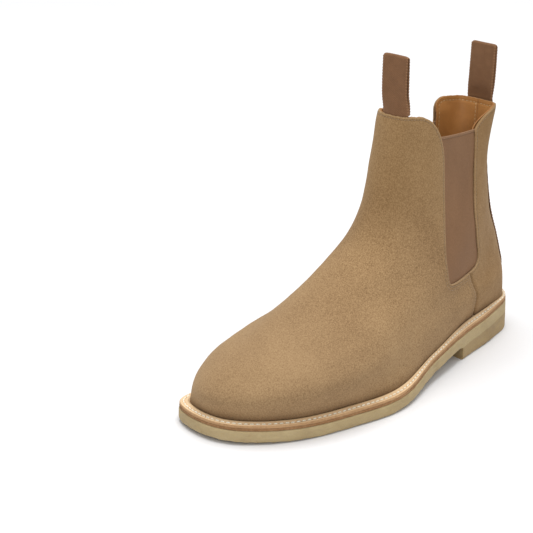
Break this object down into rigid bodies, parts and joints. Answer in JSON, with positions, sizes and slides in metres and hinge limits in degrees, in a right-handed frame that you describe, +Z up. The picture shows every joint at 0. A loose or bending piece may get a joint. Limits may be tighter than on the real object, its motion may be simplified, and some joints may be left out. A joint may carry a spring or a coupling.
{
  "type": "chelsea boot",
  "caption": "Left ankle boot in suede with elastic side gores, leather lining, stitched welt, crepe sole with heel block and two folding pull tabs.",
  "frame": {"origin": "centre of the overall box in plan, at the ground under the sole", "axes": "+X runs from heel to toe, +Y to the outer side of the foot, +Z up"},
  "size_m": [0.3029, 0.1146, 0.2297],
  "materials": {
    "crepe": "matte natural crepe rubber",
    "midsole_leather": "raw cut leather edge",
    "welt_leather": "natural veg-tanned leather",
    "thread": "waxed off-white thread",
    "canvas": "plain canvas",
    "cork": "granulated cork",
    "steel": "spring steel",
    "insole_leather": "vegetable-tanned leather",
    "lining_leather": "smooth calf lining",
    "suede": "napped suede",
    "elastic": "fine woven elastic",
    "stiffener": "thermoplastic stiffener sheet",
    "webbing": "fine twill webbing"
  },
  "bodies": {
    "boot": {"outsole": "crepe", "heel_block": "crepe", "midsole": "midsole_leather", "welt": "welt_leather", "welt_stitching": "thread", "insole_rib": "canvas", "cork_filler": "cork", "shank": "steel", "insole": "insole_leather", "sock_liner": "lining_leather", "vamp": "suede", "quarter_lateral": "suede", "quarter_medial": "suede", "gore_lateral": "elastic", "gore_medial": "elastic", "vamp_lining": "lining_leather", "quarter_lining_lateral": "lining_leather", "quarter_lining_medial": "lining_leather", "toe_puff": "stiffener", "heel_counter": "stiffener", "back_strap": "webbing", "front_tab_anchor": "webbing"},
    "front_tab": {"front_pull_tab": "webbing"},
    "rear_tab": {"rear_pull_tab": "webbing"}
  },
  "joints": [
    {"name": "front_tab_fold", "type": "hinge", "parent": "boot", "child": "front_tab", "pos_m": [-0.0243, 0.0045, 0.1889], "axis": [0, 1, 0], "range_deg": [-80, 80], "stiffness_Nm_per_rad": 0.01},
    {"name": "rear_tab_fold", "type": "hinge", "parent": "boot", "child": "rear_tab", "pos_m": [-0.1344, 0.0015, 0.1735], "axis": [0, 1, 0], "range_deg": [-75, 80], "stiffness_Nm_per_rad": 0.01}
  ]
}
